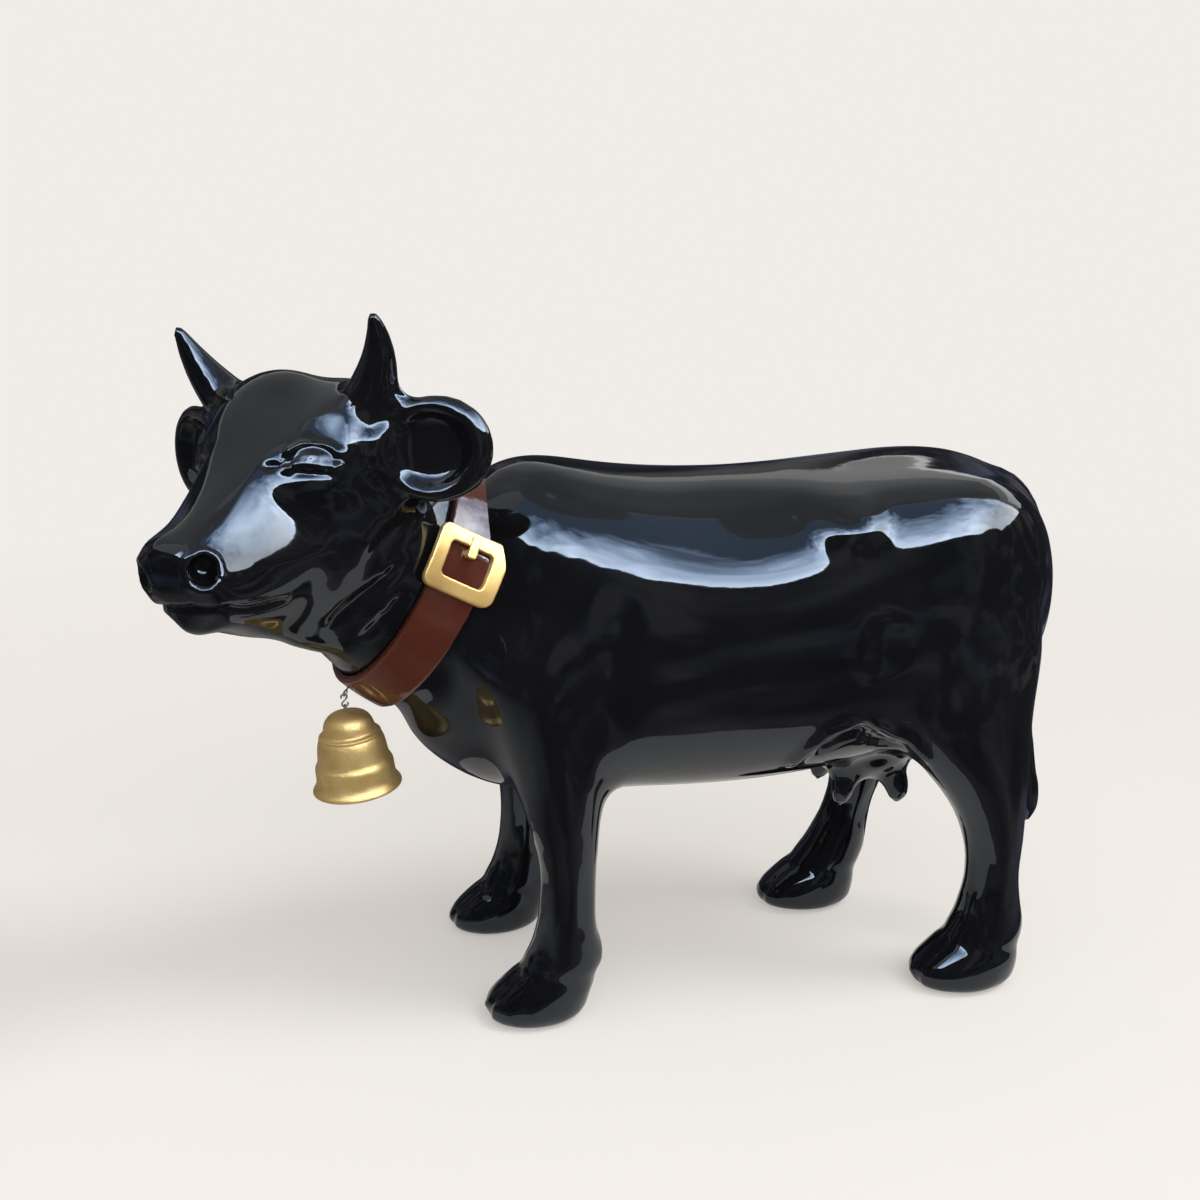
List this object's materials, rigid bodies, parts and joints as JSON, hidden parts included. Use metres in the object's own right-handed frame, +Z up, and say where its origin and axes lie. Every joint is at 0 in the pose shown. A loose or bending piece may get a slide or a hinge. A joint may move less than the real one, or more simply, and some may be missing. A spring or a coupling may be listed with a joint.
{
  "type": "cow figurine",
  "caption": "Glossy black standing cow figurine with its head turned to the side, a brown collar with a gold buckle and a gold bell that swings on a wire hook.",
  "frame": {"origin": "on the floor under the middle of the bounding box", "axes": "+Z up, head towards -X, the animal's left flank towards -Y"},
  "size_m": [0.3864, 0.1577, 0.2959],
  "materials": {
    "black_lacquer": "cast resin under high-gloss black lacquer",
    "brown_strap": "glossy brown paint on a moulded strap",
    "gold_buckle": "satin gold paint",
    "steel_wire": "plain drawn wire",
    "gold_bell": "matt gold with a fine grain",
    "iron_clapper": "dull dark"
  },
  "bodies": {
    "figurine": {"trunk_left_shell": "black_lacquer", "trunk_right_shell": "black_lacquer", "head_shell": "black_lacquer", "left_horn": "black_lacquer", "right_horn": "black_lacquer", "left_ear": "black_lacquer", "right_ear": "black_lacquer", "front_left_leg": "black_lacquer", "front_right_leg": "black_lacquer", "rear_left_leg": "black_lacquer", "rear_right_leg": "black_lacquer", "tail": "black_lacquer", "udder": "black_lacquer", "collar_strap": "brown_strap", "buckle_frame": "gold_buckle", "buckle_prong": "gold_buckle", "bell_eye": "steel_wire"},
    "hook": {"bell_hook": "steel_wire"},
    "bell": {"bell_shell": "gold_bell", "bell_stem": "steel_wire"},
    "clapper": {"clapper_wire": "steel_wire", "clapper_ball": "iron_clapper"}
  },
  "joints": [
    {"name": "hook_swing", "type": "hinge", "parent": "figurine", "child": "hook", "pos_m": [-0.12545, -0.00156, 0.13807], "axis": [-0.309, 0.9511, 0], "range_deg": [-12, 50]},
    {"name": "bell_swing", "type": "hinge", "parent": "hook", "child": "bell", "pos_m": [-0.12497, -0.00141, 0.13325], "axis": [0.9458, 0.3073, 0.1045], "range_deg": [-30, 30]},
    {"name": "clapper_swing", "type": "hinge", "parent": "bell", "child": "clapper", "pos_m": [-0.12435, -0.00121, 0.12708], "axis": [0.309, -0.9511, 0], "range_deg": [-21, 21]}
  ]
}
